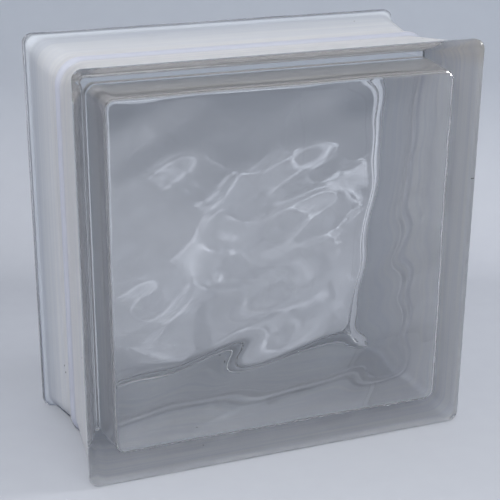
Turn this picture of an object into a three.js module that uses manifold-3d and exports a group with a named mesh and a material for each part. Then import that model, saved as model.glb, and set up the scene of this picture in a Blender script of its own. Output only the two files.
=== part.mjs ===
// Hollow glass block: two pressed glass half shells, fused rim to rim at the middle of the depth.
// Millimetres, +Z up. The block stands on its bottom edge at z = 0 and is centred on x = 0, y = 0.
// Its two faces look along -Y (front) and +Y (back), and the seam lies in the plane y = 0.
import * as THREE from 'three';
import { LoftGeometry } from 'three/addons/geometries/LoftGeometry.js';
import { mergeVertices } from 'three/addons/utils/BufferGeometryUtils.js';
import Module from 'manifold-3d';

// Overall sizes
const BLOCK_WIDTH = 190;
const BLOCK_HEIGHT = 190;
const BLOCK_DEPTH = 95;

// Lip: the flange that runs round each face
const LIP_THICKNESS = 4.8;
const LIP_EDGE_RADIUS = 3;
const LIP_CORNER_RADIUS = 4.5;

// Mortar channel: drops away behind the lip, then deepens towards the seam with the mould's draft
const CHANNEL_SLOPE_LENGTH = 6;
const CHANNEL_DEPTH_AT_LIP = 2;
const CHANNEL_DEPTH_AT_SEAM = 4.7;
const CHANNEL_CORNER_AT_LIP = 8;

// Seam ridge: the bead of glass that the fused rims push out
const RIDGE_HEIGHT = 1.3;
const RIDGE_HALF_WIDTH = 5;
const SEAM_CORNER_RADIUS = 12;

// Hollow: a tapered pocket in each shell, widest at the seam
const PANE_THICKNESS = 7;
const WALL_AT_SEAM = 7;
const CAVITY_TAPER = 1.5;
const CAVITY_FILLET = 2;
const CAVITY_CORNER_AT_PANE = 5;
const CAVITY_CORNER_AT_SEAM = 5;

// Inner bead: the glass that the fused rims push into the hollow
const BEAD_HEIGHT = 0.9;
const BEAD_HALF_WIDTH = 3;

// Wave relief pressed into the inner side of each pane: a broad swell and a shorter one that crosses
// it, each bent by the other. A long lull makes the crossing one fainter in places.
const WAVE_HEIGHT = 1.034;
const BROAD_WAVELENGTH = 63.5;
const BROAD_HEADING = -0.446;
const BROAD_START = -57.1;
const CROSS_WAVELENGTH = 22;
const CROSS_HEADING = 1.943;
const CROSS_START = 31;
const CROSS_SHARE = 0.292;
const WAVE_BEND = 0.32;
const LULL_WAVELENGTH = 75.6;
const LULL_HEADING = -0.303;
const LULL_START = -14.8;
const LULL_DEPTH = 0.963;

// How far the cut for the hollow runs on past the seam plane, so that it always opens there
const CUT_PAST_SEAM = 2;

// Fineness of the facets
const CORNER_STEPS = 6;
const EDGE_STEPS = 4;
const RIDGE_STEPS = 4;
const FILLET_STEPS = 4;
const BEAD_STEPS = 2;
const PANE_CELL = 3.2;

const FACE = -BLOCK_DEPTH / 2;
const PANE_INSIDE = FACE + PANE_THICKNESS;
const QUARTER_TURN = Math.PI / 2;

const wasm = await Module();
wasm.setup();

// One rounded rectangle, inset from the block's outer edge, in the plane at this y
function section(inset, cornerRadius, y) {
  const points = [];
  const halfWidth = BLOCK_WIDTH / 2 - inset - cornerRadius;
  const halfHeight = BLOCK_HEIGHT / 2 - inset - cornerRadius;
  for (let corner = 0; corner < 4; corner += 1) {
    const middle = (corner + 0.5) * QUARTER_TURN;
    const centreX = Math.sign(Math.sin(middle)) * halfWidth;
    const centreZ = Math.sign(Math.cos(middle)) * halfHeight + BLOCK_HEIGHT / 2;
    for (let step = 0; step <= CORNER_STEPS; step += 1) {
      const angle = (corner + step / CORNER_STEPS) * QUARTER_TURN;
      const x = centreX + cornerRadius * Math.sin(angle);
      points.push(new THREE.Vector3(x, y, centreZ + cornerRadius * Math.cos(angle)));
    }
  }
  return points;
}

// The outside of the front shell, from its face to the seam plane
function outerSections() {
  const sections = [];
  for (let step = 0; step <= EDGE_STEPS; step += 1) {
    const angle = (step / EDGE_STEPS) * QUARTER_TURN;
    const inset = LIP_EDGE_RADIUS * (1 - Math.sin(angle));
    const y = FACE + LIP_EDGE_RADIUS * (1 - Math.cos(angle));
    sections.push(section(inset, LIP_CORNER_RADIUS - inset, y));
  }
  const lipBack = FACE + LIP_THICKNESS;
  sections.push(section(0, LIP_CORNER_RADIUS, lipBack));
  sections.push(section(CHANNEL_DEPTH_AT_LIP, CHANNEL_CORNER_AT_LIP, lipBack + CHANNEL_SLOPE_LENGTH));
  for (let step = 0; step <= RIDGE_STEPS; step += 1) {
    const rise = Math.sin((step / RIDGE_STEPS) * QUARTER_TURN);
    const inset = CHANNEL_DEPTH_AT_SEAM - RIDGE_HEIGHT * rise;
    sections.push(section(inset, SEAM_CORNER_RADIUS, -RIDGE_HALF_WIDTH * (1 - step / RIDGE_STEPS)));
  }
  return sections;
}

// The hollow of the front shell, from its filleted end under the pane to past the seam plane
function cavitySections() {
  const sections = [];
  const deepest = PANE_INSIDE - WAVE_HEIGHT;
  const insetAtSeam = CHANNEL_DEPTH_AT_SEAM + WALL_AT_SEAM;
  const insetAtPane = insetAtSeam + CAVITY_TAPER;
  for (let step = 0; step <= FILLET_STEPS; step += 1) {
    const angle = (step / FILLET_STEPS) * QUARTER_TURN;
    const inset = insetAtPane + CAVITY_FILLET * (1 - Math.sin(angle));
    const y = deepest + CAVITY_FILLET * (1 - Math.cos(angle));
    const cornerRadius = CAVITY_CORNER_AT_PANE - (inset - insetAtPane);
    sections.push(section(inset, cornerRadius, y));
  }
  for (let step = 0; step <= BEAD_STEPS; step += 1) {
    const rise = Math.sin((step / BEAD_STEPS) * QUARTER_TURN);
    const y = -BEAD_HALF_WIDTH * (1 - step / BEAD_STEPS);
    sections.push(section(insetAtSeam + BEAD_HEIGHT * rise, CAVITY_CORNER_AT_SEAM, y));
  }
  sections.push(section(insetAtSeam + BEAD_HEIGHT, CAVITY_CORNER_AT_SEAM, CUT_PAST_SEAM));
  return sections;
}

// Where a place on the pane lies in a swell that starts here and heads this way, as an angle
function turnOf(x, z, start, heading, wavelength) {
  const along = x * Math.cos(heading) + z * Math.sin(heading) - start;
  return (along / wavelength) * 2 * Math.PI;
}

// How far the wave relief stands into the hollow at this place on the pane
function wave(x, z) {
  const broadTurn = turnOf(x, z, BROAD_START, BROAD_HEADING, BROAD_WAVELENGTH);
  const crossTurn = turnOf(x, z, CROSS_START, CROSS_HEADING, CROSS_WAVELENGTH);
  const lullTurn = turnOf(x, z, LULL_START, LULL_HEADING, LULL_WAVELENGTH);
  const lull = 1 - LULL_DEPTH * (0.5 + 0.5 * Math.sin(lullTurn));
  const broad = Math.sin(broadTurn + WAVE_BEND * Math.sin(crossTurn / 2));
  const cross = Math.sin(crossTurn + WAVE_BEND * Math.sin(broadTurn / 2));
  return WAVE_HEIGHT * ((1 - CROSS_SHARE) * broad + CROSS_SHARE * lull * cross);
}

// A block of air behind the pane: its near side carries the wave relief
function airBehindPane() {
  const columns = Math.round(BLOCK_WIDTH / PANE_CELL);
  const rows = Math.round(BLOCK_HEIGHT / PANE_CELL);
  const depth = CUT_PAST_SEAM - PANE_INSIDE;
  const geometry = new THREE.BoxGeometry(BLOCK_WIDTH, depth, BLOCK_HEIGHT, columns, 1, rows);
  geometry.translate(0, PANE_INSIDE + depth / 2, BLOCK_HEIGHT / 2);
  const places = geometry.attributes.position;
  for (let i = 0; i < places.count; i += 1) {
    if (places.getY(i) < PANE_INSIDE / 2) {
      places.setY(i, PANE_INSIDE + wave(places.getX(i), places.getZ(i)));
    }
  }
  return geometry;
}

function toSolid(geometry) {
  const bare = new THREE.BufferGeometry();
  bare.setAttribute('position', geometry.attributes.position);
  bare.setIndex(geometry.index);
  const merged = mergeVertices(bare);
  return new wasm.Manifold(new wasm.Mesh({
    numProp: 3,
    vertProperties: new Float32Array(merged.attributes.position.array),
    triVerts: new Uint32Array(merged.index.array),
  }));
}

function toGeometry(solid) {
  const mesh = solid.getMesh();
  const geometry = new THREE.BufferGeometry();
  geometry.setAttribute('position', new THREE.BufferAttribute(mesh.vertProperties, 3));
  geometry.setIndex(new THREE.BufferAttribute(mesh.triVerts, 1));
  geometry.computeVertexNormals();
  return geometry;
}

// One pressed half: a shallow glass tray, open at the seam plane
function shellGeometry() {
  const capped = { capStart: true, capEnd: true };
  const outside = toSolid(new LoftGeometry(outerSections(), capped));
  const pocket = toSolid(new LoftGeometry(cavitySections(), capped));
  const hollow = pocket.intersect(toSolid(airBehindPane()));
  return toGeometry(outside.subtract(hollow));
}

const clearGlass = new THREE.MeshStandardMaterial({ color: 0xb9c4cb, roughness: 0.03, metalness: 0 });
const shell = shellGeometry();

// Both halves come from one mould, so the back one is the front one turned round
const frontShell = new THREE.Mesh(shell, clearGlass);
frontShell.name = 'front_shell';
const backShell = new THREE.Mesh(shell, clearGlass);
backShell.name = 'back_shell';
backShell.rotation.z = Math.PI;

const group = new THREE.Group();
group.add(frontShell, backShell);

export default group;
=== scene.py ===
# %% [markdown]
# # A hollow glass block
# The block is two pressed glass trays, fused rim to rim into one sealed box with a wavy relief on
# the inside of each face. Its four narrow sides are painted white so that mortar holds to them, and
# the faces and their lips stay bare glass. Clear glass has no look of its own: it shows what lies
# behind, bent by its shape. So this lesson spends its effort on true thicknesses and true waves, on
# the paint that closes the box, and on a lamp whose light the relief can gather.

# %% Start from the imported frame
import math

import bmesh
import bpy
from mathutils import Matrix, Vector


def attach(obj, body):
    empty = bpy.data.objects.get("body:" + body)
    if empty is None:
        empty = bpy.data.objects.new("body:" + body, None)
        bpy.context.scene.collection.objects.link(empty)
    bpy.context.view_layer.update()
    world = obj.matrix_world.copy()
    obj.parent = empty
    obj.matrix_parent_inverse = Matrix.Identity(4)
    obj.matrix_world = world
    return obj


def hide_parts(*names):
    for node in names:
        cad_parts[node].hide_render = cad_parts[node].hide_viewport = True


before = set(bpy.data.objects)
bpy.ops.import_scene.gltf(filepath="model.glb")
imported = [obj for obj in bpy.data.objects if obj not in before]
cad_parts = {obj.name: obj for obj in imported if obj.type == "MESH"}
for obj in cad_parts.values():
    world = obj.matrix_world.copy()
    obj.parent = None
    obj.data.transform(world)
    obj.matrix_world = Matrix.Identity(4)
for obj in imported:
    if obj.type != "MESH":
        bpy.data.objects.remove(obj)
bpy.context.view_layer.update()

# %% [markdown]
# ## Sizes
# Everything below is drawn in millimetres, as a mould maker would, and scaled to metres once each
# piece is closed. The front half reaches from the face at y = -47.5 to the seam at y = 0. Its
# outside has a lip, a slope behind the lip, a shallow channel for the mortar, and a ridge of glass
# that the fused rims push out.

# %% Sizes of the outside
MM = 0.001
WIDTH = 190
DEPTH = 95
FACE = -DEPTH / 2
MIDDLE = WIDTH / 2

LIP = 4.8
LIP_EDGE_RADIUS = 3.0
LIP_CORNER_RADIUS = 4.5
SLOPE_LENGTH = 6
DEPTH_AT_SLOPE_FOOT = 2.0
CORNER_AT_SLOPE_FOOT = 8
DEPTH_AT_SEAM = 4.7
CORNER_AT_SEAM = 12
RIDGE_HEIGHT = 1.3
RIDGE_HALF_WIDTH = 5
print("outside", WIDTH, "x", WIDTH, "x", DEPTH, "mm, lips", LIP, "mm thick")

# %% [markdown]
# The hollow is a square pocket with a small fillet where its walls meet the pane, a little draft so
# that the plunger came out, and a low bead at the seam. A real pane is about 7 mm thick.

# %% Sizes of the hollow
PANE = 7
PANE_INSIDE = FACE + PANE
WALL_AT_SEAM = 7
HOLLOW_TAPER = 1.5
HOLLOW_FILLET = 2
HOLLOW_CORNER_AT_PANE = 5
HOLLOW_CORNER_AT_SEAM = 5
BEAD_HEIGHT = 0.9
BEAD_HALF_WIDTH = 3
print("panes", PANE, "mm, walls", WALL_AT_SEAM, "mm at the seam")

# %% [markdown]
# ## One ring of the shape
# Every section of this block, outside or hollow, is a square with rounded corners. A grid of one
# cell with its corners bevelled is that square, and cuts along its long sides give it enough edges
# to follow a curved face. Drawing sections and bridging them keeps all the rings aligned, which a
# box cut by other boxes would not.

# %% One ring
UPRIGHT = Matrix.Rotation(math.radians(90), 4, "X")
CORNER_CELLS = 8


def ring(bm, inset, corner_radius, y, side_cells):
    """A rounded square that stands upright at this depth. Returns its face and its edges."""
    half = WIDTH / 2 - inset
    place = Matrix.Translation((0, y, MIDDLE)) @ UPRIGHT
    square = bmesh.ops.create_grid(bm, x_segments=1, y_segments=1, size=half, matrix=place)
    rounded = bmesh.ops.bevel(
        bm, geom=square["verts"], offset=corner_radius, affect="VERTICES",
        segments=CORNER_CELLS, profile=0.5, material=-1)
    face = rounded["verts"][0].link_faces[0]
    straight = [edge for edge in face.edges if edge.calc_length() > half]
    bmesh.ops.subdivide_edges(bm, edges=straight, cuts=side_cells - 1)
    return face, list(face.edges)


trial = bmesh.new()
_, trial_edges = ring(trial, 0, LIP_CORNER_RADIUS, FACE, side_cells=24)
print("a ring has", len(trial_edges), "edges")
trial.free()

# %% [markdown]
# ## A tube of rings, and the other half
# Bridging each ring to the next makes a tube that is closed at its first ring. The two halves of
# the block come from one mould, so the back one is a copy turned half round, and merging the
# doubled points at the seam makes one closed skin.

# %% Tube and copy
MERGE = 0.001


def tube(bm, rings, side_cells):
    """Bridges one ring after another. Returns the first ring's face and its edges."""
    first = None
    last_edges = None
    for inset, corner_radius, y in rings:
        face, edges = ring(bm, inset, corner_radius, y, side_cells)
        if first is None:
            first = (face, edges)
        else:
            bmesh.ops.delete(bm, geom=[face], context="FACES_ONLY")
            bmesh.ops.bridge_loops(bm, edges=last_edges + edges)
        last_edges = edges
    return first


def add_other_half(bm):
    """Turns a copy half round, and joins the two at the seam."""
    copy = bmesh.ops.duplicate(bm, geom=bm.verts[:] + bm.edges[:] + bm.faces[:])
    verts = [item for item in copy["geom"] if isinstance(item, bmesh.types.BMVert)]
    bmesh.ops.rotate(bm, verts=verts, cent=(0, 0, 0), matrix=Matrix.Rotation(math.pi, 3, "Z"))
    bmesh.ops.remove_doubles(bm, verts=bm.verts, dist=MERGE)
    bmesh.ops.recalc_face_normals(bm, faces=bm.faces)
    for face in bm.faces:
        face.smooth = True


def quarter_turn(steps):
    """Sine and cosine at even steps through 90 degrees."""
    turns = [math.radians(90) * step / steps for step in range(steps + 1)]
    return [(math.sin(turn), math.cos(turn)) for turn in turns]


def between(first, last, share):
    """The value at this share of the way."""
    return first + (last - first) * share


def swell(share):
    """Rises smoothly from 0 to 1."""
    return (1 - math.cos(math.pi * share)) / 2


print("quarter turn in two steps", quarter_turn(2))

# %% [markdown]
# ## The outside of the glass
# Fire polishing leaves every edge of pressed glass round. The lip's edge turns through a quarter
# circle, and that curve is what draws the bright and dark lines round the face, so it is real
# geometry. One more ring just inside each turn keeps the flat parts flat: all faces are shaded
# smooth, and without it the pane would look like a cushion.

# %% Outside rings
SUPPORT = 0.3
EDGE_STEPS = 8
SLOPE_STEPS = 6
CHANNEL_STEPS = 4
RIDGE_STEPS = 6
OUTSIDE_SIDE_CELLS = 24


def outside_rings():
    """Inset, corner radius and depth of each ring, from the face to the seam."""
    inset = LIP_EDGE_RADIUS + SUPPORT
    rings = [(inset, LIP_CORNER_RADIUS - inset, FACE)]
    for sine, cosine in quarter_turn(EDGE_STEPS):
        inset = LIP_EDGE_RADIUS * (1 - sine)
        rings.append((inset, LIP_CORNER_RADIUS - inset, FACE + LIP_EDGE_RADIUS * (1 - cosine)))
    back = FACE + LIP
    rings.append((0, LIP_CORNER_RADIUS, back - SUPPORT))
    for step, (sine, _) in enumerate(quarter_turn(SLOPE_STEPS)):
        share = step / SLOPE_STEPS
        corner = between(LIP_CORNER_RADIUS, CORNER_AT_SLOPE_FOOT, share)
        rings.append((DEPTH_AT_SLOPE_FOOT * sine, corner, back + SLOPE_LENGTH * share))
    foot = back + SLOPE_LENGTH
    for step in range(1, CHANNEL_STEPS):
        share = step / CHANNEL_STEPS
        inset = between(DEPTH_AT_SLOPE_FOOT, DEPTH_AT_SEAM, share)
        corner = between(CORNER_AT_SLOPE_FOOT, CORNER_AT_SEAM, share)
        rings.append((inset, corner, between(foot, -RIDGE_HALF_WIDTH, share)))
    for step in range(RIDGE_STEPS + 1):
        share = step / RIDGE_STEPS
        inset = DEPTH_AT_SEAM - RIDGE_HEIGHT * swell(share)
        rings.append((inset, CORNER_AT_SEAM, -RIDGE_HALF_WIDTH * (1 - share)))
    return rings


outside = bmesh.new()
tube(outside, outside_rings(), OUTSIDE_SIDE_CELLS)
add_other_half(outside)
print("outside of the glass", len(outside.faces), "faces")

# %% [markdown]
# ## The relief
# The pattern is pressed into the inner side of each pane, and the outer side stays flat. A broad
# swell runs across the pane, a shorter one crosses it, each bends the other, and a slow lull makes
# the short one fainter in places. Rows of even ripples would look like bathroom glass. Sums of
# sines are smooth everywhere, and that matters here: light is bent by the slope, so a kink that
# nobody would see in clay shows as a torn line in glass.

# %% Relief
WAVE_HEIGHT = 1.034
BROAD_WAVELENGTH = 63.5
BROAD_HEADING = -0.446
BROAD_START = -57.1
CROSS_WAVELENGTH = 22
CROSS_HEADING = 1.943
CROSS_START = 31
CROSS_SHARE = 0.292
WAVE_BEND = 0.32
LULL_WAVELENGTH = 75.6
LULL_HEADING = -0.303
LULL_START = -14.8
LULL_DEPTH = 0.963


def turn_of(x, z, start, heading, wavelength):
    """Where a place on the pane lies in a swell that starts here and heads this way."""
    along = x * math.cos(heading) + z * math.sin(heading) - start
    return along / wavelength * 2 * math.pi


def wave(x, z):
    """How far the relief stands into the hollow, in millimetres."""
    broad_turn = turn_of(x, z, BROAD_START, BROAD_HEADING, BROAD_WAVELENGTH)
    cross_turn = turn_of(x, z, CROSS_START, CROSS_HEADING, CROSS_WAVELENGTH)
    lull_turn = turn_of(x, z, LULL_START, LULL_HEADING, LULL_WAVELENGTH)
    lull = 1 - LULL_DEPTH * (0.5 + 0.5 * math.sin(lull_turn))
    broad = math.sin(broad_turn + WAVE_BEND * math.sin(cross_turn / 2))
    cross = math.sin(cross_turn + WAVE_BEND * math.sin(broad_turn / 2))
    return WAVE_HEIGHT * ((1 - CROSS_SHARE) * broad + CROSS_SHARE * lull * cross)


steps_from_middle = range(-75, 76, 5)
heights = [wave(x, MIDDLE + z) for x in steps_from_middle for z in steps_from_middle]
print("relief from", round(min(heights), 2), "to", round(max(heights), 2), "mm")

# %% [markdown]
# ## The hollow
# The pocket is a tube of rings too, and a grid fills its end where the relief lies. Its cells are
# about 1.4 mm, so the shortest wave still has sixteen of them. The relief fades out up the
# walls instead of stopping at the pane, because the plunger was one smooth piece of iron. The
# skin then faces into the hollow, so that glass lies between it and the outside.

# %% Hollow
FILLET_STEPS = 8
WALL_STEPS = 10
BEAD_STEPS = 6
HOLLOW_SIDE_CELLS = 112
WAVE_FADE = 14


def hollow_rings():
    """Inset, corner radius and depth of each ring, from the pane to the seam."""
    inset_at_seam = DEPTH_AT_SEAM + WALL_AT_SEAM
    inset_at_pane = inset_at_seam + HOLLOW_TAPER
    rings = []
    for sine, cosine in quarter_turn(FILLET_STEPS):
        inside = HOLLOW_FILLET * (1 - sine)
        rings.append((inset_at_pane + inside, HOLLOW_CORNER_AT_PANE - inside,
                      PANE_INSIDE + HOLLOW_FILLET * (1 - cosine)))
    for step in range(1, WALL_STEPS):
        share = step / WALL_STEPS
        corner = between(HOLLOW_CORNER_AT_PANE, HOLLOW_CORNER_AT_SEAM, share)
        y = between(PANE_INSIDE + HOLLOW_FILLET, -BEAD_HALF_WIDTH, share)
        rings.append((inset_at_pane - HOLLOW_TAPER * share, corner, y))
    for step in range(BEAD_STEPS + 1):
        share = step / BEAD_STEPS
        inset = inset_at_seam + BEAD_HEIGHT * swell(share)
        rings.append((inset, HOLLOW_CORNER_AT_SEAM, -BEAD_HALF_WIDTH * (1 - share)))
    return rings


def is_top_or_bottom(edge):
    """True for an edge of a ring's upper or lower side."""
    centre = (edge.verts[0].co + edge.verts[1].co) / 2
    return abs(centre.z - MIDDLE) > abs(centre.x)


hollow = bmesh.new()
pane_face, pane_edges = tube(hollow, hollow_rings(), HOLLOW_SIDE_CELLS)
bmesh.ops.delete(hollow, geom=[pane_face], context="FACES_ONLY")
rails = [edge for edge in pane_edges if is_top_or_bottom(edge)]
filled = bmesh.ops.grid_fill(hollow, edges=rails, use_smooth=True, use_interp_simple=True)
print("the grid over the pane has", len(filled["faces"]), "cells")

for vert in hollow.verts:
    left = max(0.0, 1 - (vert.co.y - PANE_INSIDE) / WAVE_FADE)
    vert.co.y += wave(vert.co.x, vert.co.z) * swell(left)
add_other_half(hollow)
bmesh.ops.reverse_faces(hollow, faces=hollow.faces)
print("hollow", len(hollow.faces), "faces")

# %% [markdown]
# ## The glass as one piece
# The fused block is one body of glass, so its outside and its hollow are one object. A ray then
# counts itself into the glass at one skin and out at the other, and the colour of the glass can
# build up along the way that it really travels.

# %% Glass
def to_object(bm, name):
    """Scales the millimetres to metres and makes an object at the origin."""
    bmesh.ops.scale(bm, vec=(MM, MM, MM), verts=bm.verts)
    mesh = bpy.data.meshes.new(name)
    bm.to_mesh(mesh)
    bm.free()
    made = bpy.data.objects.new(name, mesh)
    bpy.context.scene.collection.objects.link(made)
    return made


hollow_skin = bpy.data.meshes.new("hollow_skin")
hollow.to_mesh(hollow_skin)
hollow.free()
outside.from_mesh(hollow_skin)
bpy.data.meshes.remove(hollow_skin)
glass = to_object(outside, "fused_glass_block")
glass_size = [round(side, 4) for side in glass.dimensions]
print("glass", len(glass.data.polygons), "faces, size in metres", glass_size)

# %% [markdown]
# ## The paint as a film
# The factory sprays the four narrow sides white. The faces and lips are masked, so the film starts
# 1 mm behind one lip and ends 1 mm before the other, and takes the shape of the channel and the
# ridge on its way. Through the bare strip light gets into the corner of the lip and draws fine
# lines there. Copying the outside rings and laying them a little proud gives that film. It is a
# real sheet with two skins: the outer one is what the room sees, and the inner one bites into the
# glass, because paint on glass has no air behind it. That inner skin closes the view through the
# walls. Solidify grows the sheet against its normals, so they are turned outwards first.

# %% Paint film
FILM_PROUD = 0.15
FILM_THICKNESS = 0.22
FILM_START = 0.9
OUTER_SKIN, INNER_SKIN = 0, 1


def film_rings():
    """The outside rings behind the lip, a little proud of the glass."""
    start = FACE + LIP + FILM_START
    return [(inset - FILM_PROUD, corner, y) for inset, corner, y in outside_rings() if y > start]


film = bmesh.new()
first_face, _ = tube(film, film_rings(), OUTSIDE_SIDE_CELLS)
bmesh.ops.delete(film, geom=[first_face], context="FACES_ONLY")
add_other_half(film)
film.faces.ensure_lookup_table()
sample = film.faces[0]
if sample.normal.dot(sample.calc_center_median() - Vector((0, 0, MIDDLE))) < 0:
    bmesh.ops.reverse_faces(film, faces=film.faces)
outer_faces = set(film.faces)
bmesh.ops.solidify(film, geom=film.faces, thickness=FILM_THICKNESS)
for face in film.faces:
    face.material_index = OUTER_SKIN if face in outer_faces else INNER_SKIN
    face.smooth = True
bmesh.ops.recalc_face_normals(film, faces=film.faces)
paint_film = to_object(film, "edge_paint")
print("paint film", len(paint_film.data.polygons), "faces")

# %% [markdown]
# ## Two small helpers for materials
# Colours are written as a colour picker shows them, and one function turns them into the linear
# light that the renderer works in. One more adds a node with its settings and its links: a setting
# is an input's own value, a property of the node, or the stops of a colour ramp, and a link joins
# an input to another node's output. A Mix node has sockets for numbers, vectors and colours under
# the same names, so its colour sockets are counted. Patterns read Object coordinates, which are
# metres here: a scale of 25 makes patches of 1/25 m.

# %% Helpers
SRGB_TOE = 0.04045
A_COLOUR, B_COLOUR, MIXED_COLOUR = 6, 7, 2
MULTIPLY = {"data_type": "RGBA", "blend_type": "MULTIPLY", "Factor": 1.0}


def linear(hex_code):
    """The linear colour of an sRGB hex code."""
    shares = [int(hex_code[start:start + 2], 16) / 255 for start in (1, 3, 5)]
    return [share / 12.92 if share <= SRGB_TOE else ((share + 0.055) / 1.055) ** 2.4
            for share in shares] + [1]


def add(tree, kind, settings=None, links=None):
    """Adds a node, fills in its settings and links its inputs to these outputs."""
    node = tree.nodes.new(kind)
    for name, value in (settings or {}).items():
        if name == "stops":
            stops = node.color_ramp.elements
            stops.remove(stops[1])
            for number, (place, hex_code) in enumerate(value.items()):
                stop = stops.new(place) if number else stops[0]
                stop.position = place
                stop.color = linear(hex_code)
        elif isinstance(name, int) or name in node.inputs:
            node.inputs[name].default_value = value
        else:
            setattr(node, name, value)
    for name, source in (links or {}).items():
        tree.links.new(source, node.inputs[name])
    return node


def new_material(name):
    """An empty node material and its node tree."""
    material = bpy.data.materials.new(name)
    material.use_nodes = True
    material.node_tree.nodes.clear()
    return material, material.node_tree


print("mid grey is", round(linear("#808080")[0], 3), "in linear light")

# %% [markdown]
# ## What the glass is made of
# Soda-lime glass has an index of 1.52 and a faint cool grey body that only shows over a long way:
# through a pane it is invisible, and along the 95 mm of an edge it takes about a seventh of the
# light. A volume gives that, where a tinted surface would grey the panes as much as the edges. The
# skin is fire-polished, so it is clear and sharp with no roughness at all, and a breath of dust
# lies on it in soft clouds of 40 mm.

# %% Pressed glass
GLASS_IOR = 1.52
GLASS_BODY = "#d1d5d8"
GLASS_BODY_PER_METRE = 5.0
DUST_SCALE = 25
DUSTY, CLEAN = "#fafbfc", "#ffffff"

glass_material, tree = new_material("fire_polished_soda_lime_glass")
places = add(tree, "ShaderNodeTexCoord")
dust = add(tree, "ShaderNodeTexNoise", {"Scale": DUST_SCALE, "Detail": 2.0},
           {"Vector": places.outputs["Object"]})
clouds = add(tree, "ShaderNodeValToRGB", {"stops": {0: DUSTY, 1: CLEAN}},
             {"Fac": dust.outputs["Fac"]})
skin = add(tree, "ShaderNodeBsdfPrincipled",
           {"Roughness": 0.0, "IOR": GLASS_IOR, "Transmission Weight": 1.0},
           {"Base Color": clouds.outputs["Color"]})
body = add(tree, "ShaderNodeVolumeAbsorption",
           {"Color": linear(GLASS_BODY), "Density": GLASS_BODY_PER_METRE})
add(tree, "ShaderNodeOutputMaterial",
    links={"Surface": skin.outputs["BSDF"], "Volume": body.outputs["Volume"]})
glass.data.materials.append(glass_material)
print(glass_material.name, "with", len(tree.nodes), "nodes")

# %% [markdown]
# ## What the paint is made of
# A thin sprayed white, matt with a little sheen. It lets about half of the light on to the glass
# behind, which is why the walls inside glow softly and don't look black, so the shader mixes a
# reflecting paint with a translucent one. The block was turned under the gun, so the film has
# streaks that run round it, side by side across the depth: noise that is stretched along the
# width and the height and kept fine along the depth. Real streaks are mostly finer than 1 mm, and
# these are drawn 2 to 3 mm wide so that they show. The far half is painted darker and bluer, and
# so is the ridge's front flank: both are painted shade. Underneath, the top side's film is thinner
# still and faintly warm, so daylight comes down through it and warms the bands below the upper
# lip. A few specks of grit, 1 mm across, sit on it all.

# %% Colours and streaks of the paint
PAINT_FRONT = "#f6f6f7"
# The back half's darker, bluer tone is painted shade.
PAINT_BACK_IN_PAINTED_SHADE = "#d4d9e1"
# The ridge flank's darker tone is painted shade.
PAINTED_SHADE_ON_RIDGE = "#cdd0dc"
UNDER_FRONT = "#fafafb"
UNDER_BACK = "#fafbfd"
UNDER_TOP = "#fffcf7"
OUTER_SHOWS_THROUGH = 0.55
INNER_SHOWS_THROUGH = 0.5
TOP_SHOWS_THROUGH = 0.85
TOP_SIDE_FROM, TOP_SIDE_TO = 0.176, 0.182
PAINT_DEPTH = 0.04
# Stops along the depth where the ridge's painted shade begins and ends.
SHADED_RIDGE_FLANK = (0.42, 0.455, 0.485, 0.50)
PAINT_ROUGHNESS = 0.5
PAINT_IOR = 1.5
STREAK_SCALE = 420
STREAK_STRETCH = (0.02, 1.0, 0.02)
STREAK_LOW, STREAK_HIGH = 0.35, 0.65
STREAK_RELIEF = 0.00002
STREAK_OUTSIDE, STREAK_INSIDE = "#f6f7fa", "#f5f6fa"
GRIT = "#6b6a68"
GRIT_SCALE = 60
GRIT_RADIUS = 0.03
print("a streak is about", round(1000 / STREAK_SCALE, 1), "mm wide")

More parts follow.
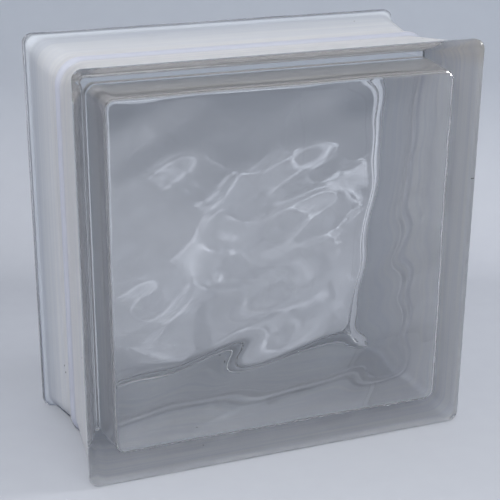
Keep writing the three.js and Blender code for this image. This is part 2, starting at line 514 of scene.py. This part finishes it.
# %% Sprayed paint
def sprayed_paint(name, front, back, shade_on_ridge, streak, on_top, shows_through, shows_on_top):
    """A streaky white paint with painted shade towards the back and on the ridge's front flank,
    passing these shares of the light at the sides and on top.
    """
    material, tree = new_material(name)
    places = add(tree, "ShaderNodeTexCoord")
    axes = add(tree, "ShaderNodeSeparateXYZ", links={"Vector": places.outputs["Object"]})

    # Darker and bluer towards the back: painted shade.
    depth = add(tree, "ShaderNodeMapRange", {"From Min": -PAINT_DEPTH, "From Max": PAINT_DEPTH},
                {"Value": axes.outputs["Y"]})
    # The ridge's front flank gets painted shade.
    flank = dict(zip(SHADED_RIDGE_FLANK, (front, shade_on_ridge, shade_on_ridge, front)))
    tone = add(tree, "ShaderNodeValToRGB", {"stops": {0: front, **flank, 1: back}},
               {"Fac": depth.outputs["Result"]})

    stretched = add(tree, "ShaderNodeMapping", {"Scale": STREAK_STRETCH},
                    {"Vector": places.outputs["Object"]})
    noise = add(tree, "ShaderNodeTexNoise", {"Scale": STREAK_SCALE, "Detail": 3.0},
                {"Vector": stretched.outputs["Vector"]})
    streaks = add(tree, "ShaderNodeValToRGB", {"stops": {STREAK_LOW: streak, STREAK_HIGH: CLEAN}},
                  {"Fac": noise.outputs["Fac"]})

    scatter = add(tree, "ShaderNodeTexVoronoi", {"Scale": GRIT_SCALE},
                  {"Vector": places.outputs["Object"]})
    grit = add(tree, "ShaderNodeValToRGB", {"stops": {0: GRIT, GRIT_RADIUS: CLEAN}},
               {"Fac": scatter.outputs["Distance"]})
    grit.color_ramp.interpolation = "CONSTANT"

    top = add(tree, "ShaderNodeMapRange", {"From Min": TOP_SIDE_FROM, "From Max": TOP_SIDE_TO},
              {"Value": axes.outputs["Z"]})
    warmth = add(tree, "ShaderNodeValToRGB", {"stops": {0: CLEAN, 1: on_top}},
                 {"Fac": top.outputs["Result"]})
    thinness = add(tree, "ShaderNodeMapRange", {"To Min": shows_through, "To Max": shows_on_top},
                   {"Value": top.outputs["Result"]})

    colour = tone.outputs["Color"]
    for layer in (streaks, warmth, grit):
        mixed = add(tree, "ShaderNodeMix", MULTIPLY,
                    {A_COLOUR: colour, B_COLOUR: layer.outputs["Color"]})
        colour = mixed.outputs[MIXED_COLOUR]

    bumps = add(tree, "ShaderNodeBump", {"Distance": STREAK_RELIEF},
                {"Height": noise.outputs["Fac"]})
    paint = add(tree, "ShaderNodeBsdfPrincipled", {"Roughness": PAINT_ROUGHNESS, "IOR": PAINT_IOR},
                {"Base Color": colour, "Normal": bumps.outputs["Normal"]})
    through = add(tree, "ShaderNodeBsdfTranslucent", links={"Color": colour})
    coat = add(tree, "ShaderNodeMixShader", links={
        "Fac": thinness.outputs["Result"], 1: paint.outputs["BSDF"], 2: through.outputs["BSDF"]})
    add(tree, "ShaderNodeOutputMaterial", links={"Surface": coat.outputs["Shader"]})
    print(name, "with", len(tree.nodes), "nodes")
    return material


paint_film.data.materials.append(sprayed_paint(
    "sprayed_white_edge_paint_with_painted_shade", PAINT_FRONT, PAINT_BACK_IN_PAINTED_SHADE, PAINTED_SHADE_ON_RIDGE, STREAK_OUTSIDE,
    CLEAN, OUTER_SHOWS_THROUGH, OUTER_SHOWS_THROUGH))
paint_film.data.materials.append(sprayed_paint(
    "paint_seen_through_the_glass", UNDER_FRONT, UNDER_BACK, UNDER_FRONT, STREAK_INSIDE,
    UNDER_TOP, INNER_SHOWS_THROUGH, TOP_SHOWS_THROUGH))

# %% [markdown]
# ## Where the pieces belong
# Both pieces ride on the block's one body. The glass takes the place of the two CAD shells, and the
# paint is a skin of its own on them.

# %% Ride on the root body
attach(glass, "root")
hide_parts("front_shell", "back_shell")
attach(paint_film, "root")
print("two pieces ride on the root body")

# %% [markdown]
# ## Floor and backdrop
# A clear object needs something plain to show. A long strip of matt grey paper lies on a pale
# lacquered table. The block stands on the strip, which curves up close behind it: the panes show
# that curve, and it catches the light that the relief gathers. The sweep stands square to the
# camera and is one flat grid, bent through a quarter circle and straight from there. Its tone is
# painted light and shade: darker under the camera, lighter behind the block where the block's
# shadow lies, and deeper again as it rises, so the block stands before its lightest part. Seen
# from behind, the sheet lets the view through, so that the block can be looked at from all sides.

# %% Paper
CAMERA_AZIMUTH = -20.73
TABLE_RADIUS = 4000
TABLE_SIDES = 64
PAPER_THICKNESS = 0.4
PAPER_AHEAD = 900
SWEEP_START = 180
SWEEP_RADIUS = 110
SWEEP_HEIGHT = 500
SWEEP_WIDTH = 700
SWEEP_ROWS = 240

table_bm = bmesh.new()
bmesh.ops.create_circle(table_bm, cap_ends=True, segments=TABLE_SIDES, radius=TABLE_RADIUS)
bmesh.ops.translate(table_bm, verts=table_bm.verts, vec=(0, 0, -PAPER_THICKNESS))
table = to_object(table_bm, "table_top")

sweep_bm = bmesh.new()
bmesh.ops.create_grid(sweep_bm, x_segments=1, y_segments=SWEEP_ROWS, size=0.5)
quarter = SWEEP_RADIUS * math.pi / 2
for vert in sweep_bm.verts:
    along = (vert.co.y + 0.5) * (PAPER_AHEAD + SWEEP_START + quarter + SWEEP_HEIGHT)
    flat = min(along - PAPER_AHEAD, SWEEP_START)
    along = max(0, along - PAPER_AHEAD - SWEEP_START)
    turn = min(along, quarter) / SWEEP_RADIUS
    vert.co.x *= SWEEP_WIDTH
    vert.co.y = flat + SWEEP_RADIUS * math.sin(turn)
    vert.co.z = SWEEP_RADIUS * (1 - math.cos(turn)) + max(0, along - quarter)
square_to_camera = Matrix.Rotation(math.radians(CAMERA_AZIMUTH), 3, "Z")
bmesh.ops.rotate(sweep_bm, verts=sweep_bm.verts, cent=(0, 0, 0), matrix=square_to_camera)
for face in sweep_bm.faces:
    face.smooth = True
sweep = to_object(sweep_bm, "paper_sweep")
print("the sweep rises", round(sweep.dimensions.z, 3), "m")

# %% [markdown]
# ## The paper's surface
# Matt paper has no sheen to speak of, so its roughness is high. A colour ramp paints light and
# shade along the floor, and a mix brings in the backdrop's painted shade up the sweep. Real fibres
# are far too fine to show, and the mottle is drawn 11 mm wide. The back of the sheet is clear,
# which Backfacing switches on.

# %% Paper material
# Painted light and shade: darker near the camera, lighter behind the block, deeper up the rise.
FLOOR_NEAR_PAINTED_SHADE, FLOOR_FAR_PAINTED_LIGHT = "#94979e", "#a0a3ab"
NEAR, FAR = -0.15, 0.15
BACKDROP_PAINTED_SHADE = "#969ca6"
TONE_RISE = 0.18
FIBRE_SCALE = 90
FIBRE = "#f9f9fa"
PAPER_ROUGHNESS = 0.9

paper, tree = new_material("matt_paper_with_painted_light")
places = add(tree, "ShaderNodeTexCoord")
axes = add(tree, "ShaderNodeSeparateXYZ", links={"Vector": places.outputs["Object"]})
distance = add(tree, "ShaderNodeMapRange",
               {"interpolation_type": "SMOOTHSTEP", "From Min": NEAR, "From Max": FAR},
               {"Value": axes.outputs["Y"]})
floor = add(tree, "ShaderNodeValToRGB", {"stops": {0: FLOOR_NEAR_PAINTED_SHADE, 1: FLOOR_FAR_PAINTED_LIGHT}},
            {"Fac": distance.outputs["Result"]})
height = add(tree, "ShaderNodeMapRange",
             {"interpolation_type": "SMOOTHSTEP", "From Max": TONE_RISE},
             {"Value": axes.outputs["Z"]})
tone = add(tree, "ShaderNodeMix", {"data_type": "RGBA", B_COLOUR: linear(BACKDROP_PAINTED_SHADE)},
           {"Factor": height.outputs["Result"], A_COLOUR: floor.outputs["Color"]})
fibres = add(tree, "ShaderNodeTexNoise", {"Scale": FIBRE_SCALE, "Detail": 4.0},
             {"Vector": places.outputs["Object"]})
mottle = add(tree, "ShaderNodeValToRGB", {"stops": {0: FIBRE, 1: CLEAN}},
             {"Fac": fibres.outputs["Fac"]})
toned = add(tree, "ShaderNodeMix", MULTIPLY,
            {A_COLOUR: tone.outputs[MIXED_COLOUR], B_COLOUR: mottle.outputs["Color"]})
front_side = add(tree, "ShaderNodeBsdfPrincipled", {"Roughness": PAPER_ROUGHNESS},
                 {"Base Color": toned.outputs[MIXED_COLOUR]})
open_back = add(tree, "ShaderNodeBsdfTransparent")
side = add(tree, "ShaderNodeNewGeometry")
sheet = add(tree, "ShaderNodeMixShader", links={
    "Fac": side.outputs["Backfacing"], 1: front_side.outputs["BSDF"], 2: open_back.outputs["BSDF"]})
add(tree, "ShaderNodeOutputMaterial", links={"Surface": sheet.outputs["Shader"]})
sweep.data.materials.append(paper)
print(paper.name, "with", len(tree.nodes), "nodes")

# %% [markdown]
# ## The table's surface
# A pale satin lacquer, which only shows past the paper's edges. It has faint clouds of 80 mm,
# because a large plain surface without any change looks like no material at all.

# %% Table material
CLOUD_SCALE = 12
LACQUER_DARK, LACQUER_LIGHT = "#888b92", "#8e9198"
LACQUER_ROUGHNESS = 0.6

table_paint, tree = new_material("pale_table_lacquer")
places = add(tree, "ShaderNodeTexCoord")
grain = add(tree, "ShaderNodeTexNoise", {"Scale": CLOUD_SCALE, "Detail": 3.0},
            {"Vector": places.outputs["Object"]})
shades = add(tree, "ShaderNodeValToRGB", {"stops": {0: LACQUER_DARK, 1: LACQUER_LIGHT}},
             {"Fac": grain.outputs["Fac"]})
lacquer = add(tree, "ShaderNodeBsdfPrincipled", {"Roughness": LACQUER_ROUGHNESS},
              {"Base Color": shades.outputs["Color"]})
add(tree, "ShaderNodeOutputMaterial", links={"Surface": lacquer.outputs["BSDF"]})
table.data.materials.append(table_paint)
print(table_paint.name, "with", len(tree.nodes), "nodes")

# %% [markdown]
# ## Camera
# It stands to the left, a little more than half a metre away, and looks down on the block. So near,
# the block's far edges run together strongly, and the lens is moderately long.

# %% Camera
CAMERA_ELEVATION = 21.96
CAMERA_ROLL = -0.19
CAMERA_PLACE = Vector((-222.36, -539.03, 294.92)) * MM
FOCAL_PIXELS = 1280.10
CENTRE_PIXEL = (212.98, 302.32)
IMAGE_PIXELS = 500
SENSOR = 36.0


def direction(azimuth, elevation):
    """The unit vector towards this azimuth, counted from the front, and elevation."""
    azimuth, elevation = math.radians(azimuth), math.radians(elevation)
    return Vector((math.sin(azimuth) * math.cos(elevation),
                   -math.cos(azimuth) * math.cos(elevation), math.sin(elevation)))


backward = direction(CAMERA_AZIMUTH, CAMERA_ELEVATION)
level_right = Vector((0, 0, 1)).cross(backward).normalized()
rolled = Matrix.Rotation(math.radians(CAMERA_ROLL), 3, backward)
right = rolled @ level_right
up = backward.cross(right)
camera_data = bpy.data.cameras.new("camera")
camera_data.sensor_width = SENSOR
camera_data.lens = FOCAL_PIXELS / IMAGE_PIXELS * SENSOR
camera_data.shift_x = (IMAGE_PIXELS / 2 - CENTRE_PIXEL[0]) / IMAGE_PIXELS
camera_data.shift_y = (CENTRE_PIXEL[1] - IMAGE_PIXELS / 2) / IMAGE_PIXELS
camera = bpy.data.objects.new("camera", camera_data)
bpy.context.scene.collection.objects.link(camera)
turned = Matrix((right, up, backward)).transposed().to_4x4()
camera.matrix_world = Matrix.Translation(CAMERA_PLACE) @ turned
bpy.context.scene.camera = camera
print("lens", round(camera_data.lens, 1), "mm")

# %% [markdown]
# ## The room
# The room is bright overhead and dim at its horizon, which makes the top of the block the whitest
# part and leaves the sides greyer. The world's strength follows the height of each direction, so
# no lamp is needed for that.

# %% Room
ROOM_LOW = 0.12
ROOM_HIGH = 1.1
ROOM_COLOUR = "#f4f7fb"

world = bpy.data.worlds.new("studio")
world.use_nodes = True
bpy.context.scene.world = world
room = world.node_tree
directions = add(room, "ShaderNodeTexCoord")
axes = add(room, "ShaderNodeSeparateXYZ", links={"Vector": directions.outputs["Generated"]})
overhead = add(room, "ShaderNodeMapRange", {"To Min": ROOM_LOW, "To Max": ROOM_HIGH},
               {"Value": axes.outputs["Z"]})
background = room.nodes["Background"]
background.inputs["Color"].default_value = linear(ROOM_COLOUR)
room.links.new(overhead.outputs["Result"], background.inputs["Strength"])
print("the room is lit from", ROOM_LOW, "at the horizon to", ROOM_HIGH, "overhead")

# %% [markdown]
# ## The lamps
# A small lamp stands close to the camera and a little higher. Seen from there the block's shadow
# hides behind the block, and through the panes the lamp draws the net of bright lines that a
# relief always throws. It is 8 mm across: a wider lamp blurs the lines, and a point makes them
# hard. A softbox in front fills, and a lamp on the right puts a glint on the lips.

# %% Lamps
BLOCK_MIDDLE = Vector((0, 0, MIDDLE)) * MM
WATTS_AT_ONE_METRE = 4 * math.pi


def disc_lamp(name, level, size, distance, azimuth, elevation):
    """A round lamp that faces the block. At a level of 1 a white sheet facing it renders white."""
    light = bpy.data.lights.new(name, "AREA")
    light.shape = "DISK"
    light.size = size
    light.energy = level * WATTS_AT_ONE_METRE * distance ** 2
    lamp = bpy.data.objects.new(name, light)
    towards = direction(azimuth, elevation)
    facing = towards.to_track_quat("Z", "Y").to_matrix().to_4x4()
    lamp.matrix_world = Matrix.Translation(BLOCK_MIDDLE + towards * distance) @ facing
    bpy.context.scene.collection.objects.link(lamp)
    print(name, "gives", round(light.energy, 2), "W")
    return light


net_lamp = disc_lamp("net_lamp", level=1.13, size=0.008, distance=0.72, azimuth=-23, elevation=24.5)
disc_lamp("softbox", level=0.12, size=0.6, distance=1.2, azimuth=5, elevation=28)
disc_lamp("side_lamp", level=0.34, size=0.3, distance=1.2, azimuth=75, elevation=30)

# %% [markdown]
# ## The light through the glass
# Cycles draws the lamp's net only where it is told to look for it: the lamp sends it, the glass
# bends it, and the paper and the paint catch it. Light meets four skins on its way through the
# block and four more on its way back to the camera, and it is scattered many times between the
# white walls. So the paths have to be long, and nothing of it may be clamped away.

# %% Light through the glass
net_lamp.cycles.is_caustics_light = True
glass.cycles.is_caustics_caster = True
for catcher in (sweep, paint_film):
    catcher.cycles.is_caustics_receiver = True

scene = bpy.context.scene
scene.view_settings.view_transform = "Standard"
scene.cycles.sample_clamp_indirect = 0
scene.cycles.max_bounces = 24
scene.cycles.transmission_bounces = 24
scene.cycles.glossy_bounces = 12
scene.cycles.diffuse_bounces = 12
print("paths of up to", scene.cycles.max_bounces, "bounces")
